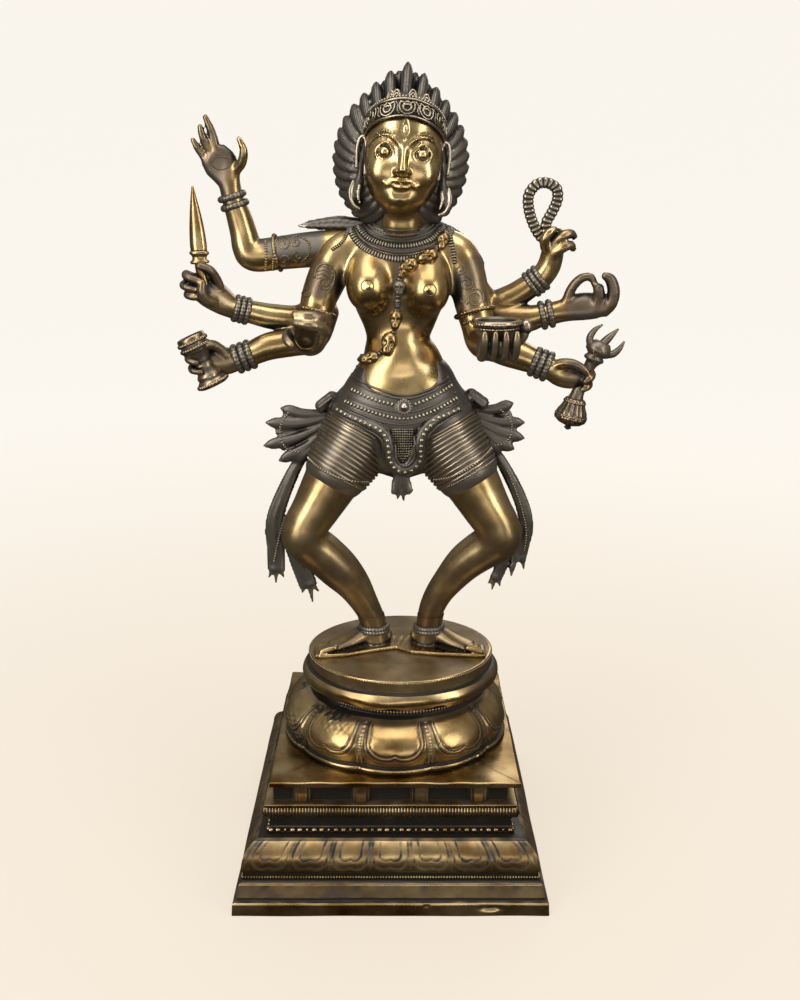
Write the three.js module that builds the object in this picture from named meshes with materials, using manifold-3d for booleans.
// A standing eight-armed goddess cast in brass, on a round lotus and a stepped square pedestal.
// Millimetres, +Z up, the origin in the middle of the pedestal's underside.
// The figure faces -Y. "Left" and "right" are the viewer's.
import * as THREE from 'three';
import { mergeVertices } from 'three/addons/utils/BufferGeometryUtils.js';
import Module from 'manifold-3d';

// Square pedestal, tier by tier from the floor: width across, height, and how much a tier tapers.
const FOOT_WIDTH = 239.6;
const FOOT_HEIGHT = 10.5;
const FOOT_TAPER = 2.0;
const BAND_WIDTH = 232.8;
const BAND_HEIGHT = 13.7;
const BAND_TAPER = 5.4;
const BEAD_ROW_WIDTH = 225.0;
const BEAD_ROW_HEIGHT = 8.6;
const BEAD_ROW_NECK = 3.0;
const CYMA_WIDTH = 224.0;
const CYMA_TOP_WIDTH = 200.6;
const CYMA_HEIGHT = 22.1;
const REEL_WIDTH = 188.4;
const REEL_HEIGHT = 5.0;
const LOWER_RECESS_WIDTH = 183.8;
const LOWER_RECESS_HEIGHT = 9.6;
const ROPE_WIDTH = 194.0;
const ROPE_HEIGHT = 8.5;
const LEDGE_WIDTH = 190.4;
const LEDGE_HEIGHT = 2.0;
const POST_RECESS_WIDTH = 177.0;
const POST_RECESS_HEIGHT = 13.5;
const POST_WIDTH = 12.5;
const POST_STAND = 3.2;
const POST_COUNT = 4;
const SLAB_WIDTH = 188.4;
const SLAB_HEIGHT = 4.7;
// The slab and all that stands on it sit a little to the right of the tiers below.
const UPPER_SHIFT = 3.4;

// Round lotus: width along X and depth along Y of each ring, and heights from its underside.
const LOTUS_WIDTH = 184.0;
const LOTUS_DEPTH = 172.0;
const LOTUS_LIP_HEIGHT = 4.0;
const PETAL_HEIGHT = 31.7;
const PETAL_COUNT = 10;
const PETAL_BULGE = 3.4;
const GROOVE_WIDTH = 137.0;
const GROOVE_DEPTH = 121.0;
const GROOVE_HEIGHT = 9.3;
const ROLL_WIDTH = 160.0;
const ROLL_DEPTH = 142.0;
const ROLL_HEIGHT = 14.0;
const DISC_WIDTH = 147.4;
const DISC_DEPTH = 130.0;
const DISC_HEIGHT = 9.5;
// The roll and the disc above the petals were cast a little to the right of them.
const DISC_SHIFT = 4.4;

// The figure with its foot plate. Its pose and carving are shares of this one height:
// the stations below are surveyed on a figure of SURVEY_HEIGHT whose feet stand at SURVEY_GROUND.
const FIGURE_HEIGHT = 443.3;
const SURVEY_HEIGHT = 443.3;
const SURVEY_GROUND = 166.7;
const SURVEY_MIDDLE = 5.0;
const SMALLEST_FACET = 0.1;

const wasm = await Module();
wasm.setup();

const X_AXIS = [1, 0, 0];
const Y_AXIS = [0, 1, 0];
const Z_AXIS = [0, 0, 1];
const FULL_TURN = 2 * Math.PI;
const QUARTER_TURN = Math.PI / 2;

// Helpers that every piece uses.

function range(count) {
  return Array.from({ length: count }, (_, index) => index);
}

function blend(from, to, share) {
  return from + (to - from) * share;
}

// Turns a closed geometry into a solid that can be joined and cut.
function solidOf(geometry) {
  geometry.deleteAttribute('normal');
  geometry.deleteAttribute('uv');
  const merged = mergeVertices(geometry, 1e-4);
  const vertProperties = Float32Array.from(merged.attributes.position.array);
  const triVerts = Uint32Array.from(merged.index.array);
  return new wasm.Manifold(new wasm.Mesh({ numProp: 3, vertProperties, triVerts }));
}

function geometryOf(solid) {
  const mesh = solid.getMesh();
  const geometry = new THREE.BufferGeometry();
  geometry.setAttribute('position', new THREE.BufferAttribute(mesh.vertProperties, 3));
  geometry.setIndex(new THREE.BufferAttribute(mesh.triVerts, 1));
  geometry.computeVertexNormals();
  return geometry;
}

// Joins solids pair by pair, which is quicker than one after another.
function fuse(solids) {
  let queue = solids;
  while (queue.length > 1) {
    const next = [];
    for (let index = 0; index < queue.length; index += 2) {
      const partner = queue[index + 1];
      next.push(partner ? queue[index].add(partner) : queue[index]);
    }
    queue = next;
  }
  return queue[0];
}

// Skins rings of points, given from one end to the other, into a closed body.
function skin(rings) {
  const sides = rings[0].length;
  const positions = rings.flat().flatMap((point) => [point.x, point.y, point.z]);
  const faces = [];
  for (let ring = 0; ring < rings.length - 1; ring += 1) {
    for (let side = 0; side < sides; side += 1) {
      const next = (side + 1) % sides;
      const low = ring * sides;
      const high = low + sides;
      faces.push(low + side, low + next, high + next);
      faces.push(low + side, high + next, high + side);
    }
  }
  const last = (rings.length - 1) * sides;
  for (let side = 1; side < sides - 1; side += 1) {
    faces.push(0, side + 1, side);
    faces.push(last, last + side, last + side + 1);
  }
  const geometry = new THREE.BufferGeometry();
  geometry.setAttribute('position', new THREE.Float32BufferAttribute(positions, 3));
  geometry.setIndex(faces);
  return solidOf(geometry);
}

// Rings of a level body: each level has z, half width, half depth, how far its middle is shifted
// along X, and an optional wave of its rim.
function levelRings(levels, sides) {
  return levels.map(({ z, halfWidth, halfDepth, shift, wave = () => 0 }) => range(sides).map((side) => {
    const turn = (side / sides) * FULL_TURN;
    const swell = wave(turn);
    const x = shift + (halfWidth + swell) * Math.cos(turn);
    const y = (halfDepth + swell) * Math.sin(turn);
    return new THREE.Vector3(x, y, z);
  }));
}

// Square pedestal.

// Heights of the pedestal's tiers, worked up from the floor.
const bandBase = FOOT_HEIGHT;
const beadRowBase = bandBase + BAND_HEIGHT;
const cymaBase = beadRowBase + BEAD_ROW_HEIGHT;
const reelBase = cymaBase + CYMA_HEIGHT;
const lowerRecessBase = reelBase + REEL_HEIGHT;
const ropeBase = lowerRecessBase + LOWER_RECESS_HEIGHT;
const ledgeBase = ropeBase + ROPE_HEIGHT;
const postBase = ledgeBase + LEDGE_HEIGHT;
const slabBase = postBase + POST_RECESS_HEIGHT;
const pedestalTop = slabBase + SLAB_HEIGHT;

function squareRing(halfWidth, z) {
  const corners = [[-1, -1], [1, -1], [1, 1], [-1, 1]];
  return corners.map(([x, y]) => new THREE.Vector3(x * halfWidth, y * halfWidth, z));
}

// Half width of the swelling moulding at a share of its height: a quarter-round shoulder.
function cymaHalfWidth(share) {
  const drop = 1 - Math.sqrt(Math.max(0, 1 - share ** 2.6));
  return blend(CYMA_WIDTH, CYMA_TOP_WIDTH, drop) / 2;
}

function cymaStations() {
  return [0, 0.3, 0.5, 0.7, 0.85, 0.95, 1].map((share) => [
    cymaHalfWidth(share),
    cymaBase + share * CYMA_HEIGHT,
  ]);
}

// A half-round moulding between two heights.
function rollStations(width, base, height, relief) {
  return [0, 0.2, 0.5, 0.8, 1].map((share) => [
    width / 2 - relief * (1 - Math.sin(share * Math.PI)),
    base + share * height,
  ]);
}

function lowerTiers() {
  const stations = [
    [FOOT_WIDTH / 2, 0],
    [(FOOT_WIDTH - FOOT_TAPER) / 2, FOOT_HEIGHT],
    [BAND_WIDTH / 2, bandBase],
    [(BAND_WIDTH - BAND_TAPER) / 2, beadRowBase],
    ...rollStations(BEAD_ROW_WIDTH, beadRowBase, BEAD_ROW_HEIGHT, BEAD_ROW_NECK / 2),
    ...cymaStations(),
    [REEL_WIDTH / 2, reelBase],
    [REEL_WIDTH / 2, lowerRecessBase],
    [LOWER_RECESS_WIDTH / 2, lowerRecessBase],
    [LOWER_RECESS_WIDTH / 2, ropeBase],
    ...rollStations(ROPE_WIDTH, ropeBase, ROPE_HEIGHT, (ROPE_WIDTH - LEDGE_WIDTH) / 2),
    [LEDGE_WIDTH / 2, ledgeBase],
    [LEDGE_WIDTH / 2, postBase],
    [POST_RECESS_WIDTH / 2, postBase],
    [POST_RECESS_WIDTH / 2, slabBase + SLAB_HEIGHT / 2],
  ];
  return skin(stations.map(([halfWidth, z]) => squareRing(halfWidth, z)));
}

function slab() {
  const geometry = new THREE.BoxGeometry(SLAB_WIDTH, SLAB_WIDTH, SLAB_HEIGHT);
  geometry.translate(UPPER_SHIFT, 0, slabBase + SLAB_HEIGHT / 2);
  return solidOf(geometry);
}

// The same ornament on all four sides of a tier.
function onFourSides(solids) {
  return range(4).flatMap((side) => solids.map((solid) => solid.rotate([0, 0, side * 90])));
}

function posts() {
  const pitch = POST_RECESS_WIDTH / POST_COUNT;
  const bury = 2;
  return range(POST_COUNT).map((index) => {
    const geometry = new THREE.BoxGeometry(POST_WIDTH, POST_STAND + bury, POST_RECESS_HEIGHT + bury);
    const x = (index - (POST_COUNT - 1) / 2) * pitch;
    const y = -(POST_RECESS_WIDTH / 2 + POST_STAND / 2 - bury / 2);
    geometry.translate(x, y, postBase + POST_RECESS_HEIGHT / 2);
    return solidOf(geometry);
  });
}

function squarePedestal() {
  const ornament = onFourSides(posts());
  return fuse([lowerTiers(), ...ornament, slab()]);
}

// Round lotus.

const lotusHeight = LOTUS_LIP_HEIGHT + PETAL_HEIGHT + GROOVE_HEIGHT + ROLL_HEIGHT + DISC_HEIGHT;
const lotusTop = pedestalTop + lotusHeight;

// Ten broad petals, one of them in front: full in the middle of each, tucked in between two.
function petalWave(height) {
  return (turn) => {
    const fromFront = turn + QUARTER_TURN;
    const share = Math.abs(Math.cos((fromFront * PETAL_COUNT) / 2));
    return height * (Math.sqrt(share) - 1);
  };
}

function lotusPlinth() {
  const sides = PETAL_COUNT * 4;
  const petalBase = LOTUS_LIP_HEIGHT;
  const grooveBase = petalBase + PETAL_HEIGHT;
  const rollBase = grooveBase + GROOVE_HEIGHT;
  const discBase = rollBase + ROLL_HEIGHT;
  const ring = (z, width, depth, wave) => ({
    z, halfWidth: width / 2, halfDepth: depth / 2, shift: wave ? 0 : DISC_SHIFT, wave,
  });
  const levels = [
    ring(0, LOTUS_WIDTH - 3, LOTUS_DEPTH - 3, petalWave(PETAL_BULGE)),
    ring(petalBase * 0.9, LOTUS_WIDTH, LOTUS_DEPTH, petalWave(PETAL_BULGE)),
    ring(petalBase + PETAL_HEIGHT * 0.05, LOTUS_WIDTH - 8, LOTUS_DEPTH - 8, petalWave(PETAL_BULGE)),
    ring(petalBase + PETAL_HEIGHT * 0.3, LOTUS_WIDTH - 3, LOTUS_DEPTH - 3, petalWave(PETAL_BULGE)),
    ring(petalBase + PETAL_HEIGHT * 0.6, LOTUS_WIDTH - 8, LOTUS_DEPTH - 8, petalWave(PETAL_BULGE)),
    ring(petalBase + PETAL_HEIGHT * 0.84, LOTUS_WIDTH - 23, LOTUS_DEPTH - 24, petalWave(PETAL_BULGE)),
    ring(rollBase - GROOVE_HEIGHT * 0.2, GROOVE_WIDTH, GROOVE_DEPTH),
    ring(rollBase, ROLL_WIDTH - 9, ROLL_DEPTH - 9),
    ring(rollBase + ROLL_HEIGHT * 0.45, ROLL_WIDTH, ROLL_DEPTH),
    ring(discBase, DISC_WIDTH + 3, DISC_DEPTH + 3),
    ring(discBase + DISC_HEIGHT, DISC_WIDTH, DISC_DEPTH),
  ];
  return skin(levelRings(levels, sides));
}

// Helpers of the figure. Everything surveyed goes through these, so it follows FIGURE_HEIGHT.

const unit = FIGURE_HEIGHT / SURVEY_HEIGHT;

function at([x, y, z]) {
  return new THREE.Vector3(x - SURVEY_MIDDLE, y, z - SURVEY_GROUND).multiplyScalar(unit);
}

// The survey point on the other side of the figure's middle line.
function mirrored([x, ...rest]) {
  return [2 * SURVEY_MIDDLE - x, ...rest];
}

// A limb: elliptical sections along stations of x, y, z, half width and half depth.
// The half width starts out along the direction "across". A four-sided limb is a strap,
// measured to its faces and not to its corners.
function limb(stations, { sides = 8, across = X_AXIS } = {}) {
  const centres = stations.map(at);
  const scale = sides === 4 ? unit * Math.SQRT2 : unit;
  const width = new THREE.Vector3(...across);
  const rings = centres.map((centre, index) => {
    const before = centres[Math.max(index - 1, 0)];
    const after = centres[Math.min(index + 1, centres.length - 1)];
    const along = after.clone().sub(before).normalize();
    width.addScaledVector(along, -width.dot(along)).normalize();
    const depth = along.clone().cross(width);
    const [, , , halfWidth, halfDepth = halfWidth] = stations[index];
    return range(sides).map((side) => {
      const turn = ((side + 0.5) / sides) * FULL_TURN;
      return centre.clone()
        .addScaledVector(width, Math.cos(turn) * halfWidth * scale)
        .addScaledVector(depth, Math.sin(turn) * halfDepth * scale);
    });
  });
  return skin(rings);
}

// A limb of one thickness, tapering a little towards its end.
function finger(points, radius, sides = 4) {
  const last = points.length - 1;
  const tapered = points.map((point, index) => [...point, radius * blend(1, 0.62, index / last)]);
  return limb(tapered, { sides, across: [0.6, 0.5, 0.62] });
}

function ball(centre, [rx, ry, rz], segments = 8, rows = 5) {
  const geometry = new THREE.SphereGeometry(1, segments, rows);
  geometry.rotateX(QUARTER_TURN);
  geometry.scale(rx * unit, ry * unit, rz * unit);
  const place = at(centre);
  geometry.translate(place.x, place.y, place.z);
  return solidOf(geometry);
}

// Stations of a sleeve with raised rings, to be set into a limb between two points of it.
function ringed(from, to, radius, rings = 2, relief = 1.6) {
  const steps = rings * 2;
  return range(steps + 1).map((step) => {
    const share = step / steps;
    const point = from.map((value, axis) => blend(value, to[axis], share));
    return [...point, radius + (step % 2 ? relief : 0)];
  });
}

// Head.

const HEAD = [5.6, -8, 544];
const HEAD_TILT = THREE.MathUtils.degToRad(4.5);

// A point of the head's own frame: across, towards the back, and up from the head's middle.
function headPoint([x, y, z]) {
  const lean = Math.sin(HEAD_TILT);
  const rise = Math.cos(HEAD_TILT);
  return [HEAD[0] + x * rise + z * lean, HEAD[1] + y, HEAD[2] + z * rise - x * lean];
}

function headStations(rows) {
  return rows.map(([x, y, z, ...radii]) => [...headPoint([x, y, z]), ...radii]);
}

function skull() {
  return limb(headStations([
    [0, -13, -33, 8, 6],
    [0, -11, -31, 14, 10.5],
    [0, -9, -25, 21.5, 16],
    [0, -6, -14, 26.5, 22.5],
    [0, -4, -2, 28, 25],
    [0, -3, 10, 28, 26],
    [0, -2, 22, 26.3, 25.5],
    [0, -1, 33, 21, 21],
    [0, 0, 40, 10, 11],
  ]), { sides: 10 });
}

function face() {
  const nose = limb(headStations([
    [0, -27, 9, 1.6, 2],
    [0, -30, -2, 2.4, 3],
    [0, -31.5, -8, 4, 3.6],
    [0, -29, -11, 4.4, 3],
  ]), { sides: 5 });
  const lips = limb(headStations([
    [-10, -23.5, -15, 1.2, 1.6],
    [0, -29, -15.5, 2.6, 2.2],
    [10, -23.5, -15, 1.2, 1.6],
  ]), { sides: 4, across: Z_AXIS });
  const details = [nose, lips];
  for (const side of [-1, 1]) {
    details.push(ball(headPoint([side * 14, -22.5, 4]), [5.2, 3.6, 5.2], 6, 4));
    details.push(limb(headStations([
      [side * 8.5, -25.5, -17, 1.5],
      [side * 13.5, -22.5, -14, 1.1],
    ]), { sides: 4, across: Z_AXIS }));
  }
  return details;
}

// Ears with a heavy ornament in the lobe.
function ears() {
  return [-1, 1].map((side) => limb(headStations([
    [side * 27, -4, 10, 3.4, 3.8],
    [side * 30, -4, -2, 4, 4.4],
    [side * 30, -3, -14, 3.4, 4.4],
    [side * 32, -3, -21, 5.6, 6.6],
    [side * 34.5, -3, -32, 2.4, 4],
  ]), { sides: 5 }));
}

// Flaming hair: one fan of locks round the head, each lock a ridge that ends in a tooth.
const LOCK_COUNT = 27;
const LOCKED_ARC = THREE.MathUtils.degToRad(142);
const NAPE_STEPS = 5;
const HAIR_BEHIND = 13;
const HAIR_DROP = 4.5;
const HAIR_MIDDLE = -1.4;

// How far the locks reach, by the turn away from the crown: tall in front, short at the nape.
function hairReach(turn) {
  const away = Math.min(
    Math.abs(THREE.MathUtils.radToDeg(turn)),
    Math.abs(360 - THREE.MathUtils.radToDeg(turn)),
  );
  const crest = 16.3 * Math.exp(-((away / 20) ** 1.4));
  const brow = 6.4 * Math.exp(-((away / 68) ** 3));
  const nape = THREE.MathUtils.smoothstep(away, 142, 165);
  return blend(48 + crest + brow, 43, nape);
}

function hair() {
  const layers = [
    { y: -13, share: 0.5, ridge: 0.03 },
    { y: -1, share: 1, ridge: 0.08 },
    { y: 11, share: 0.88, ridge: 0.06 },
    { y: 24, share: 0.36, ridge: 0.03 },
  ];
  const pitch = (2 * LOCKED_ARC) / LOCK_COUNT;
  const lockTurns = range(LOCK_COUNT * 2).map((step) => {
    const onTip = step % 2 === 1;
    const base = (Math.floor(step / 2) + 0.5) * pitch - LOCKED_ARC;
    const shift = onTip ? 0 : pitch * 0.45 * Math.sign(base);
    return { turn: base - shift, onTip };
  });
  const napeTurns = range(NAPE_STEPS).map((step) => ({
    turn: blend(LOCKED_ARC, FULL_TURN - LOCKED_ARC, (step + 1) / (NAPE_STEPS + 1)),
    onTip: true,
  }));
  const turns = [...lockTurns, ...napeTurns];
  const rings = layers.map(({ y, share, ridge }) => turns.map(({ turn, onTip }) => {
    const reach = hairReach(turn) * share * (onTip ? 1 : 1 - ridge);
    const groove = onTip ? 1.6 * Math.sign(y) : 0;
    return at(headPoint([
      HAIR_MIDDLE + Math.sin(turn) * reach,
      HAIR_BEHIND + y + groove,
      Math.cos(turn) * reach - HAIR_DROP,
    ]));
  }));
  return skin(rings);
}

function diadem() {
  const steps = 8;
  return limb(range(steps + 1).map((step) => {
    const turn = blend(-0.62, 0.62, step / steps) * Math.PI;
    const x = Math.sin(turn) * 26.8;
    const y = -3 - Math.cos(turn) * 26.6;
    const sag = 17 * (1 - Math.cos(turn));
    return [...headPoint([x, y, 33 - sag]), 5.6, 2.8];
  }), { sides: 4, across: Z_AXIS });
}

// Trunk.

// The belts at the hips are rings of the trunk itself, tipped down in front.
function trunk() {
  return limb([
    [5, -2, 322, 14, 12],
    [5, -3, 332, 38, 21],
    [5, -5, 344, 53, 25.5],
    ...beltStations(),
    [4.5, -2.5, 398, 31.5, 21.5],
    [2.5, -1.5, 408, 26, 18],
    [2.2, -0.5, 416.5, 23.2, 16.5],
    [2.4, 0, 424, 25, 17],
    [2.8, 0.5, 434, 29, 19],
    [2.8, 1, 446, 34, 21],
    [3, 1.5, 459, 36.5, 22],
    [3.5, 3, 472, 39, 20.5],
    [3.6, 4, 482, 43, 17],
    [3.6, 4.5, 490, 38, 14],
    [3.6, 4, 496, 27, 13],
    [3.6, 2, 503, 18, 15.5],
    [4.8, -3, 526, 16, 16],
  ], { sides: 10 });
}

// Rows of height, half width, half depth and how far the belt stands out there.
function beltStations() {
  const levels = [
    [355, 54.5, 27.5, 2.2], [362, 51.5, 26.8, 2.2], [364, 50, 26.6, 0.4], [366, 49, 26.2, 2.6],
    [372, 46, 25.8, 2.6], [374, 44.5, 25.4, 0.4], [379, 41.5, 25, 2], [386, 37.5, 24.4, 2],
    [388, 36.5, 24, 0],
  ];
  const top = levels[levels.length - 1][0];
  return levels.map(([z, halfWidth, halfDepth, stand]) => [
    5.3, 1 - (top - z) * 0.2, z - 1.5, halfWidth + stand, halfDepth + stand,
  ]);
}

// The bosom, each half with its point.
function bosom() {
  return [[-19.5, -17, 458], [25, -17, 455]].flatMap(([x, y, z]) => [
    ball([x, y, z], [17.4, 18, 17.4], 8, 6),
    ball([x, y - 16.6, z + 1], [4, 2.4, 4], 6, 3),
  ]);
}

// Two flat necklaces, one below the other, hanging in U curves from the nape.
function necklaces() {
  const rows = [
    { spread: 27, top: 503, drop: 16, front: -18.5, half: 3.6 },
    { spread: 36, top: 498, drop: 23, front: -23, half: 4 },
  ];
  const steps = 7;
  return rows.map(({ spread, top, drop, front, half }) => limb(range(steps + 1).map((step) => {
    const turn = blend(-QUARTER_TURN, QUARTER_TURN, step / steps);
    const inward = Math.cos(turn);
    return [
      3.6 + Math.sin(turn) * spread,
      blend(4, front, inward ** 0.8),
      top - drop * inward ** 1.2,
      half,
      1.8,
    ];
  }), { sides: 4, across: Z_AXIS }));
}

const PLAIN_CORD = 2.0;

// The garland of skulls, hung over the right shoulder and round the left of the waist.
const GARLAND = [
  [37, -8, 493, 4.4, 2.6],
  [32, -15, 487, 4.8, 3.2],
  [22, -22, 478, 4.8, 3.2],
  [10, -26, 472, 4.6, 3.2],
  [4, -26, 465, 3.4, 2.8],
  [2, -25, 455, 4.2, 3],
  [1, -22.5, 444, 3, 2.6],
  [1, -21.5, 432, 4.2, 3.4],
  [-5, -21, 417, 5, 3.8],
  [-17, -18, 407, 5, 3.8],
  [-27, -10, 405, 4.2, 3.4],
  [-29, 2, 409, PLAIN_CORD, PLAIN_CORD],
  [-22, 14, 420, PLAIN_CORD, PLAIN_CORD],
  [-4, 21, 442, PLAIN_CORD, PLAIN_CORD],
  [18, 21, 466, PLAIN_CORD, PLAIN_CORD],
  [36, 15, 486, PLAIN_CORD, PLAIN_CORD],
  [44, 6, 493, PLAIN_CORD, PLAIN_CORD],
];

// One cord that swells at each skull. Behind the back it runs plain.
function garland() {
  const skulls = GARLAND.filter(([, , , half]) => half > PLAIN_CORD);
  const beaded = skulls.flatMap(([x, y, z, half, stand], index) => {
    const next = GARLAND[index + 1];
    const gap = [x, y, z].map((value, axis) => blend(value, next[axis], 0.5));
    return [[x, y, z, half, stand], [...gap, PLAIN_CORD, PLAIN_CORD]];
  });
  const behind = GARLAND.slice(skulls.length);
  return [limb([...beaded, ...behind], { sides: 4, across: X_AXIS })];
}

// Ends of the shoulder scarf, flying out on both sides.
function scarf() {
  return [
    limb([
      [-24, 6, 499, 3, 4],
      [-48, 10, 500.6, 3.6, 4],
      [-64, 13, 499.4, 4.2, 3],
      [-71, 14, 498, 1, 1.5],
    ], { sides: 5, across: Z_AXIS }),
    limb([
      [32, 6, 498, 3, 4],
      [49, 10, 486.5, 4.6, 4],
      [61.6, 12, 471.5, 5.2, 3],
      [65.4, 12, 465.5, 2.4, 1.5],
    ], { sides: 5, across: Z_AXIS }),
  ];
}

// Arms, the four of the viewer's left first. Bangles and armlets are rings in the limb itself.

const ARM_SIDES = 6;

function openPalmArm() {
  const arm = limb([
    [-34, 8, 484, 12],
    [-50, 11, 482, 13.4],
    [-68, 13, 480.5, 13],
    ...ringed([-80, 14, 479.7], [-95, 15, 477], 12.2),
    [-104.4, 16, 476.6, 12],
    [-109.6, 16, 481, 11.4],
    [-112.2, 15.5, 492.8, 10],
    [-115.1, 14.5, 505, 9.4],
    ...ringed([-117, 14, 511], [-120, 13.2, 523], 8.7),
    [-120.6, 13, 527, 6.6, 8.2],
    [-122.4, 12.5, 533.2, 5.8, 10.5],
    [-126, 12, 540.8, 5.8, 13.4],
    [-131.4, 11.5, 548.5, 5.1, 12],
    [-135.5, 11, 553, 4.3, 8.6],
  ], { sides: ARM_SIDES, across: Y_AXIS });
  return [
    arm,
    finger([[-128.3, 11, 550], [-131.1, 9.5, 563], [-135, 8, 574.5]], 4),
    finger([[-134, 11, 550], [-137.5, 9, 559.5], [-139.2, 8, 568]], 3.6),
    finger([[-138.5, 12, 546], [-142.5, 10, 553], [-145.4, 9, 559]], 3.2),
    finger([[-116, 11, 537], [-110.2, 7, 542.5], [-108.2, 4, 551], [-111.4, 3, 559.5]], 4),
  ];
}

function daggerArm() {
  const arm = limb([
    [-40, 12, 474, 12],
    [-60, 22, 438, 11.5],
    [-72.4, 20, 429.7, 10.2],
    [-91.2, 18, 430.7, 9.8],
    ...ringed([-110, 15.5, 435], [-121, 12.5, 438], 9),
    [-129, 9, 443.5, 11.5, 8],
    [-138, 7, 450.5, 13.5, 8.5],
    [-146, 6, 456, 11, 8.5],
    [-151, 5, 458.5, 6, 6],
  ], { sides: ARM_SIDES, across: Z_AXIS });
  return [
    arm,
    finger([[-132, 6, 458], [-135, 0, 468], [-143, -1, 472]], 4),
    finger([[-150, 4, 463], [-153, -2, 464], [-142, -5, 460]], 4),
    finger([[-149, 5, 453], [-156, 1, 454.5], [-149, -5, 455]], 4),
    dagger(),
  ];
}

function dagger() {
  return limb([
    [-140, 2, 452, 3.6, 3],
    [-143, 1, 472, 4, 3],
    [-143, 1, 476, 7.2, 3.4],
    [-143, 1, 480, 7.2, 3.4],
    [-143.3, 1, 481, 6.6, 2.6],
    [-144.5, 2, 504, 5, 2.2],
    [-146, 3, 526.5, 0.7, 0.6],
  ], { sides: 5 });
}

function drumArm() {
  const arm = limb([
    [-54, 12, 436, 12],
    [-62, 13, 417, 12],
    [-76, 12, 413, 11],
    [-95, 8, 410, 10.4],
    ...ringed([-109, 6, 404.5], [-120, 5, 400.5], 9.8),
    [-127, 4, 399.5, 10.5, 8.5],
    [-136, 2, 400, 11.5, 8.5],
    [-144, 1, 402, 8, 7],
  ], { sides: ARM_SIDES, across: Z_AXIS });
  const drum = limb([
    [-153, -6, 419.5, 10.6],
    [-147.5, -6, 407.5, 10.6],
    [-146, -6, 404, 7.4],
    [-143, -6, 397.5, 7.4],
    [-141.5, -6, 394, 8.6],
    [-136.5, -6, 383, 11.4],
  ], { sides: 8 });
  return [
    arm,
    drum,
    finger([[-128, 0, 406], [-136, -3, 413.5], [-144, -11, 411]], 4.2),
    finger([[-148, 2, 402], [-154, -5, 400], [-150, -13, 398]], 3.8),
  ];
}

function socketFistArm() {
  const arm = limb([
    [-39, 3, 480, 13.8],
    [-47.5, 0, 468, 14],
    [-55, -3, 450, 13.4],
    ...ringed([-56.2, -3.5, 447], [-60, -6, 431], 12.6),
    [-61, -10, 421.5, 12],
    [-61.5, -20, 419, 12],
    [-61.5, -31, 421.5, 12.2],
    [-62, -40, 425.5, 12.6, 12],
    [-62, -45, 429.5, 12.6, 12],
  ], { sides: 8 });
  const hollow = limb([
    [-63, -36, 421, 5],
    [-63, -50, 425, 10],
    [-63, -64, 429, 11.5],
  ], { sides: 6 });
  return [
    arm.subtract(hollow),
    finger([[-49, -40, 432], [-57, -51, 437], [-69, -49, 438.5]], 3.8),
    finger([[-50, -43, 424], [-58, -53, 430.5], [-69, -50, 433]], 3.4),
  ];
}

function nooseArm() {
  const arm = limb([
    [44, 10, 474, 12],
    [68, 19, 441, 11.4],
    [84.6, 17, 443.8, 10.2],
    ...ringed([101, 16, 454], [109.4, 14.8, 460.6], 9.2),
    [115, 14, 469.5, 9],
    [117, 12, 480, 9, 8.5],
    [118.4, 11, 488, 9, 7],
    [122, 10, 494, 7, 5.5],
  ], { sides: ARM_SIDES, across: Y_AXIS });
  return [
    arm,
    finger([[118, 12, 491], [125, 9, 494], [131, 8, 490]], 4.4),
    noose(),
  ];
}

// The noose is one closed loop of rope that rises from the hand.
function noose() {
  const path = [
    [112.5, 10, 486], [105.6, 10, 492.5], [99.6, 10, 504], [97, 10, 516.4], [99.4, 10, 523.8],
    [105, 10, 528.2], [112, 10, 528], [117.6, 10, 524], [118.4, 10, 516.5], [115, 10, 508],
    [110.8, 10, 499.4], [113, 10, 490],
  ];
  return limb(path.map((point) => [...point, 4.6, 4.8]), { sides: 5 });
}

function ringHandArm() {
  const arm = limb([
    [60, 16, 444, 12],
    [70, 17, 432, 12],
    [97, 11.3, 430.3, 10.8],
    ...ringed([108, 9, 432.5], [119, 8, 435], 9),
    [126, 6, 437, 9, 7],
    [137, 4, 440, 11, 6],
    [148, 2, 441, 10.5, 6],
    [156, 1, 444, 10, 6],
  ], { sides: ARM_SIDES, across: Z_AXIS });
  const curledFingers = limb([
    [157, 0, 436, 5.5, 5],
    [160.5, -2, 446, 5.5, 5.5],
    [159.5, -3, 457, 5.5, 5.5],
    [155, -4, 464, 4, 4],
  ], { sides: 6 });
  return [
    arm,
    curledFingers,
    finger([[127, 5, 443], [131, 3, 454], [137, 1, 461.5], [144, 0, 462], [147, -1, 455]], 4),
    finger([[150, 0, 443], [150, -3, 456]], 5.4),
  ];
}

function tridentArm() {
  const arm = limb([
    [58, 11, 436, 12],
    [67, 11, 418, 12],
    [80, 9, 408.5, 12],
    [97, 5, 402.5, 11],
    ...ringed([105, 2.5, 399.5], [116, 0, 395.5], 10),
    [125, -2, 391.5, 11, 8.5],
    [134, -4, 390, 11, 8],
    [142, -5, 388, 8, 7],
  ], { sides: ARM_SIDES, across: Z_AXIS });
  return [
    arm,
    finger([[120, -4, 397], [132, -10, 400], [142, -11, 394]], 4.2),
    finger([[142, -2, 391], [147, -8, 391], [143, -13, 388]], 3.8),
    ...trident(),
  ];
}

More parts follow.
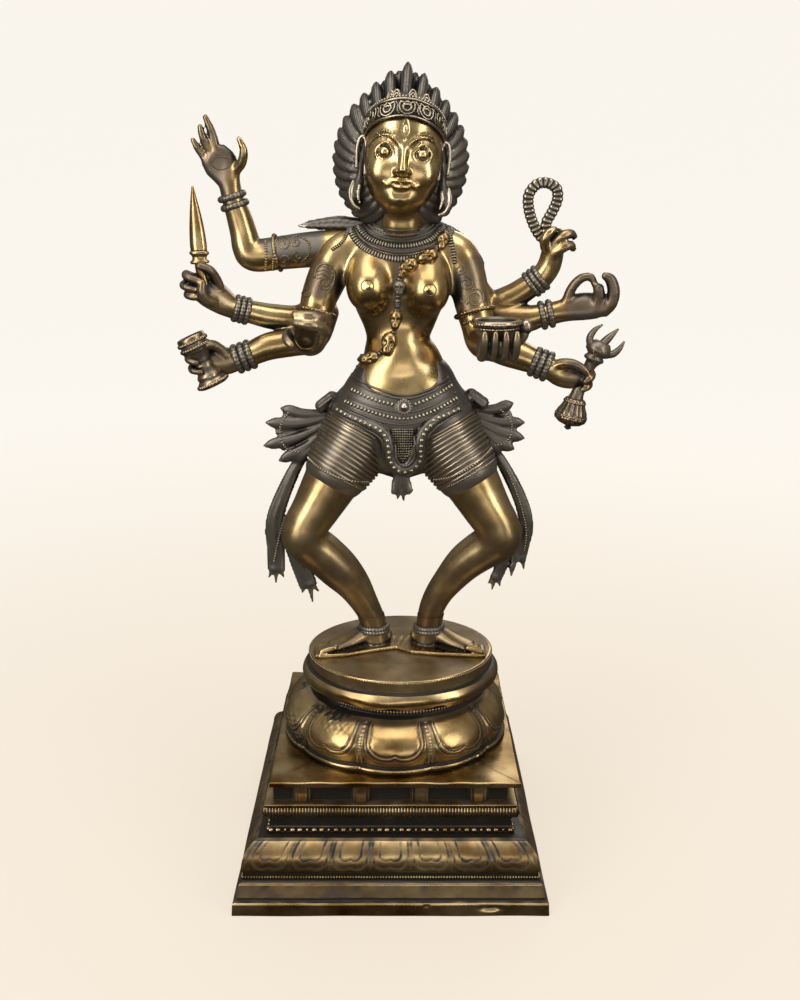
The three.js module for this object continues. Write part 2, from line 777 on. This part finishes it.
// A trident with a palmette head, and a bell at the other end of its shaft.
function trident() {
  const profile = [
    [130.5, 349, 1.2], [132, 354.5, 8.5], [133, 359, 12], [133.7, 363, 11.5], [136, 371, 7.4],
    [139, 382, 5], [145, 396, 4.4], [148, 401.5, 6.4], [150, 406, 9.6], [152.5, 411, 10],
    [154.5, 415, 6.4],
  ];
  const shaft = limb(profile.map(([x, z, half]) => [x, -5, z, half, half * 0.82]), { sides: 5 });
  const prong = (points) => {
    const stations = points.map(([x, z, half]) => [x, -5, z, half * 0.8, half]);
    return limb(stations, { sides: 4, across: Y_AXIS });
  };
  return [
    shaft,
    prong([[146, 411, 2.6], [145, 418, 2.4], [148.5, 424, 1.6], [153.6, 428, 0.5]]),
    prong([[152, 411, 3], [158.5, 418, 2.4], [165.5, 424.5, 0.6]]),
    prong([[155, 406, 2.6], [162, 406, 2.4], [167, 410, 1.6], [170.6, 415.6, 0.5]]),
  ];
}

function bowlArm() {
  const arm = limb([
    [45, 3, 480, 13.8],
    [52, 0, 466, 13.8],
    [55.6, -3, 450, 13.6],
    ...ringed([56.2, -4, 447], [60.6, -7.5, 430], 13),
    [62.4, -11, 420, 12.4],
    [66, -21, 416.5, 12.4],
    [69, -32, 416.5, 12.4, 11],
    [71, -42, 417.5, 14.5, 9.5],
    [71, -51, 420.5, 13.5, 7.5],
  ], { sides: 8 });
  const fingers = range(4).map((index) => {
    const x = 60.5 + index * 7.4;
    return finger([[x, -46, 412], [x + 0.6, -60, 415], [x + 1, -65, 431]], 3.6);
  });
  return [
    arm,
    ...fingers,
    bowl(),
    finger([[84, -44, 420], [91, -45, 431]], 4.2),
  ];
}

// The bowl is a shallow cup, open at the top, that rests in the fingers.
function bowl() {
  const outline = [[0, 0], [9, 0], [15, 7], [17.2, 15], [14.6, 15], [0, 6]];
  const points = outline.map(([radius, height]) => new THREE.Vector2(radius * unit, height * unit));
  const geometry = new THREE.LatheGeometry(points, 9);
  geometry.rotateX(QUARTER_TURN);
  const place = at([71, -47, 422]);
  geometry.translate(place.x, place.y, place.z);
  return solidOf(geometry);
}

// Legs.

// Tight shorts: ribs round the thigh, from the hip to a hem.
const SHORTS_RIBS = 8;

function shortsStations() {
  const start = [-21, 2, 353];
  const end = [-44, -7.5, 317];
  const steps = SHORTS_RIBS * 2;
  return range(steps + 1).map((step) => {
    const share = step / steps;
    const centre = start.map((value, axis) => blend(value, end[axis], share));
    return [...centre, blend(28.5, 23.8, share) + (step % 2 ? 1.9 : 0.3)];
  });
}

// The two calves are not quite alike: from below the knee to the foot.
const LEFT_CALF = [
  [-58, -9, 251, 16.6],
  [-44.6, -5, 236, 16.4],
  [-33.4, -1, 221, 13.8],
  [-25, 2, 205, 11.2],
  [-19.6, 4, 193, 10.4],
  [-17.6, 4, 186, 10.4],
  [-17, 4, 181, 12.6],
  [-16.2, 3.2, 172, 9.6],
];
const RIGHT_CALF = [
  [67, -9, 252, 15.6],
  [54.6, -5, 240.5, 14.6],
  [42, -1, 223.4, 12.2],
  [34.6, 1, 211.5, 11],
  [29.4, 3, 198, 10.4],
  [28, 4, 187, 10.4],
  [27.4, 4, 181, 12.6],
  [26, 3, 172, 9.4],
];

function leg(mirror, calf) {
  const thigh = [
    ...shortsStations(),
    [-44.6, -7.8, 316, 22],
    [-61, -13.5, 288, 18],
    [-69, -15, 275, 16.8],
    [-70.5, -14, 264, 16.4],
  ];
  return limb([...thigh.map(mirror), ...calf], { sides: 8 });
}

function foot(mirror) {
  return limb([
    [-6, 5, 174.5, 5, 5],
    [-12, 5, 175.5, 7.5, 6.5],
    [-24, 3, 177, 8.5, 7.5],
    [-38, -5, 174, 9, 5.2],
    [-51, -12, 171.8, 8.5, 3.2],
    [-58, -16, 171, 6.5, 2.2],
  ].map(mirror), { sides: 6, across: Y_AXIS });
}

function legs() {
  const asSurveyed = (row) => row;
  return [
    leg(asSurveyed, LEFT_CALF),
    foot(asSurveyed),
    leg(mirrored, RIGHT_CALF),
    foot(mirrored),
  ];
}

// The thin plate that both feet are cast on, with a wavy front edge.
function footPlate() {
  const outline = [
    [-60, -23], [-40, -20], [-20, -12], [1, -5], [14, -14.5], [36, -18.5], [69, -21.5],
    [70, -4], [52, 10], [28, 16], [4, 14], [-20, 16], [-44, 10], [-62, -4],
  ];
  const shape = new THREE.Shape(outline.map(([x, y]) => (
    new THREE.Vector2((x - SURVEY_MIDDLE) * unit, y * unit)
  )));
  const geometry = new THREE.ExtrudeGeometry(shape, { depth: 3.2 * unit, bevelEnabled: false });
  return solidOf(geometry);
}

// Cloth and belts at the hips.

function clasp() {
  return ball([6, -31.5, 370], [5, 3.6, 5], 6, 3);
}

// The apron: a beaded strap that hangs from both hips in a U, with a ribbed panel in it.
function apron() {
  const strap = limb([
    [-40, -13, 363, 3, 2],
    [-24.4, -26, 358.2, 3, 2],
    [-11.8, -31.5, 353.5, 3, 2],
    [-6, -33, 345, 3, 2],
    [-3, -32.5, 336, 3, 2],
    [0.5, -31.5, 328.5, 3, 2],
    [5.4, -31, 325.6, 3, 2],
    [11.2, -31.5, 328.5, 3, 2],
    [14.4, -32.5, 336, 3, 2],
    [17.6, -33, 345, 3, 2],
    [23.5, -31.5, 354, 3, 2],
    [36.2, -26, 359.7, 3, 2],
    [50, -13, 364, 3, 2],
  ], { sides: 4, across: Z_AXIS });
  const panel = limb([
    [5.6, -26, 360, 14, 5],
    [5.6, -27, 350, 12, 4.6],
    [5.6, -27.5, 338, 9.5, 4],
    [5.4, -28, 328, 6, 3.4],
  ], { sides: 6 });
  const tail = limb([
    [5, -20, 330, 6.5, 4],
    [4.6, -18, 312, 6.5, 3],
    [5.3, -17, 304, 11.4, 2.6],
    [6.9, -17, 297, 2.4, 1.8],
  ], { sides: 4 });
  return [strap, panel, tail];
}

// Pleats of the sash that fan out from a knot at each hip: crests run to the tips,
// and the cloth between two tips is cut back.
function fan(root, tips) {
  const edge = tips.flatMap(([x, y, z, half], index) => {
    const crest = { point: [x, y, z], stand: half };
    const next = tips[index + 1];
    if (!next) {
      return [crest];
    }
    const between = [x, y, z].map((value, axis) => blend(value, next[axis], 0.5));
    return [crest, { point: blendPoint(root, between, 0.84), stand: 1.5 }];
  });
  const rootHalf = 8;
  const rootStand = 4;
  const sag = 3;
  const last = edge.length - 1;
  const fold = (index, share, forward) => {
    const [x, y, z] = blendPoint(root, edge[index].point, share);
    const fromRoot = (1 - share) * blend(rootHalf, -rootHalf, index / last);
    return at([x, y - forward, z + fromRoot - sag * Math.sin(share * Math.PI)]);
  };
  const rings = [0, 0.5, 0.9, 1].map((share) => {
    const thickness = share < 1 ? 1 : 0.35;
    const pleat = Math.min(1, 2 * share);
    const front = edge.map(({ stand }, index) => {
      const forward = blend(rootStand, stand, pleat) * 0.6 + 1.5;
      return fold(index, share, forward * thickness);
    });
    const [firstBack, lastBack] = [0, last].map((index) => fold(index, share, -3 * thickness));
    return [firstBack, ...front, lastBack];
  });
  return skin(tips[0][0] > root[0] ? rings : rings.map((ring) => [...ring].reverse()));
}

function blendPoint(from, to, share) {
  return from.map((value, axis) => blend(value, to[axis], share));
}

function sashes() {
  const left = fan([-52, 4, 350], [
    [-87.4, 5, 363, 5], [-99.1, 4, 352, 5], [-101, 2, 334, 5], [-88.9, 0, 322.6, 5],
    [-77, 0, 322.6, 4],
  ]);
  const right = fan([62, 4, 354], [
    [90.3, 5, 367, 5], [99.2, 4, 352, 5], [99.3, 2, 340, 5], [91.6, 0, 332, 5],
    [81, 0, 330, 4],
  ]);
  return [left, right];
}

// Long ends of the sash that hang behind the thighs and split below the knees.
function hangingTails() {
  const tail = (stations) => limb(stations, { sides: 4 });
  return [
    tail([
      [-50, 4, 350, 4, 3], [-76, 2, 319, 4.6, 3], [-89.5, 1, 290, 6.4, 3], [-95, 1, 271, 7.4, 3],
      [-93.5, 2, 248, 7.6, 2.6], [-94.5, 2, 226, 7.4, 2],
    ]),
    tail([[-84, 4, 266, 7, 2.8], [-77, 4, 240, 7.6, 2.6], [-66.5, 4, 209, 7.8, 2]]),
    tail([
      [60, 4, 352, 4, 3], [84, 2, 319, 4.4, 3], [98, 1, 291, 5.6, 3], [103, 1, 272, 6, 3],
      [100.5, 2, 250, 4.8, 2.6], [100.5, 2, 236, 3, 2],
    ]),
    tail([[98, 2, 258, 4.4, 2.4], [93.5, 2, 231, 2.6, 1.8]]),
    tail([[94, 4, 264, 6.4, 2.8], [87, 4, 243, 5.6, 2.6], [79.5, 4, 218.5, 4.6, 2]]),
  ];
}

function figure() {
  return fuse([
    footPlate(),
    ...legs(),
    trunk(),
    ...bosom(),
    clasp(),
    ...apron(),
    ...sashes(),
    ...hangingTails(),
    ...openPalmArm(),
    ...daggerArm(),
    ...drumArm(),
    ...socketFistArm(),
    ...nooseArm(),
    ...ringHandArm(),
    ...tridentArm(),
    ...bowlArm(),
    ...scarf(),
    ...necklaces(),
    ...garland(),
    hair(),
    skull(),
    ...face(),
    ...ears(),
    diadem(),
  ]).simplify(SMALLEST_FACET);
}

// Materials: the same aged brass, a little brighter where hands polish it.

function brass(color, roughness) {
  return new THREE.MeshStandardMaterial({ color, roughness, metalness: 1 });
}

function piece(name, solid, material) {
  const mesh = new THREE.Mesh(geometryOf(solid), material);
  mesh.name = name;
  return mesh;
}

const group = new THREE.Group();
group.add(piece('square_pedestal', squarePedestal(), brass(0x6b5530, 0.42)));

const onSlab = new THREE.Group();
onSlab.position.set(UPPER_SHIFT, 0, pedestalTop);
onSlab.add(piece('lotus_plinth', lotusPlinth(), brass(0x9a7838, 0.32)));
group.add(onSlab);

const onLotus = new THREE.Group();
onLotus.position.set(UPPER_SHIFT + SURVEY_MIDDLE, 0, lotusTop);
onLotus.add(piece('kali_figure', figure(), brass(0x8a6a34, 0.3)));
group.add(onLotus);

export default group;
